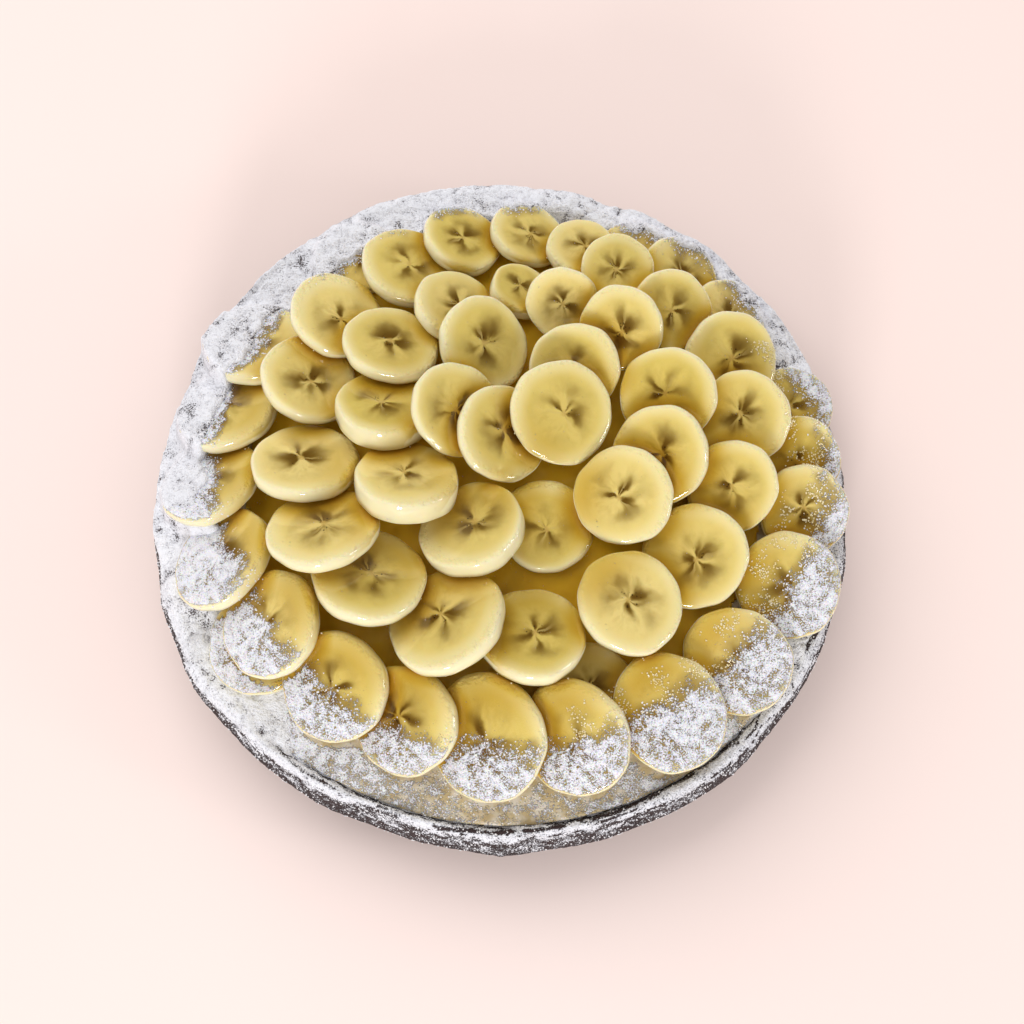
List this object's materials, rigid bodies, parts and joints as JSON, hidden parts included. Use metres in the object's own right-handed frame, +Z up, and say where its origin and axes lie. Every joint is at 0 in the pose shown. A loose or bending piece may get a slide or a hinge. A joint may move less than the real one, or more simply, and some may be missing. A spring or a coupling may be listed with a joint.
{
  "type": "banana tart",
  "caption": "Round chocolate short crust tart with a domed custard filling and overlapping glazed banana slices, dusted with icing sugar round the edge.",
  "frame": {"origin": "middle of the flat underside of the case, on the surface that it rests on", "axes": "+Z up, the tart's axis; -Y points to the side that faces the camera in the picture, +X to its right"},
  "size_m": [0.2277, 0.2299, 0.0683],
  "materials": {
    "crust": "baked chocolate short crust, dusted with icing sugar",
    "custard": "set custard, slightly moist",
    "banana": "glazed banana flesh"
  },
  "bodies": {
    "root": {"crust": "crust", "custard": "custard", "banana_01": "banana", "banana_02": "banana", "banana_03": "banana", "banana_04": "banana", "banana_05": "banana", "banana_06": "banana", "banana_07": "banana", "banana_08": "banana", "banana_09": "banana", "banana_10": "banana", "banana_11": "banana", "banana_12": "banana", "banana_13": "banana", "banana_14": "banana", "banana_15": "banana", "banana_16": "banana", "banana_17": "banana", "banana_18": "banana", "banana_19": "banana", "banana_20": "banana", "banana_21": "banana", "banana_22": "banana", "banana_23": "banana", "banana_24": "banana", "banana_25": "banana", "banana_26": "banana", "banana_27": "banana", "banana_28": "banana", "banana_29": "banana", "banana_30": "banana", "banana_31": "banana", "banana_32": "banana", "banana_33": "banana", "banana_34": "banana", "banana_35": "banana", "banana_36": "banana", "banana_37": "banana", "banana_38": "banana", "banana_39": "banana", "banana_40": "banana", "banana_41": "banana", "banana_42": "banana", "banana_43": "banana", "banana_44": "banana", "banana_45": "banana", "banana_46": "banana", "banana_47": "banana", "banana_48": "banana", "banana_49": "banana", "banana_50": "banana", "banana_51": "banana", "banana_52": "banana", "banana_53": "banana", "banana_54": "banana", "banana_55": "banana", "banana_56": "banana"}
  },
  "joints": []
}
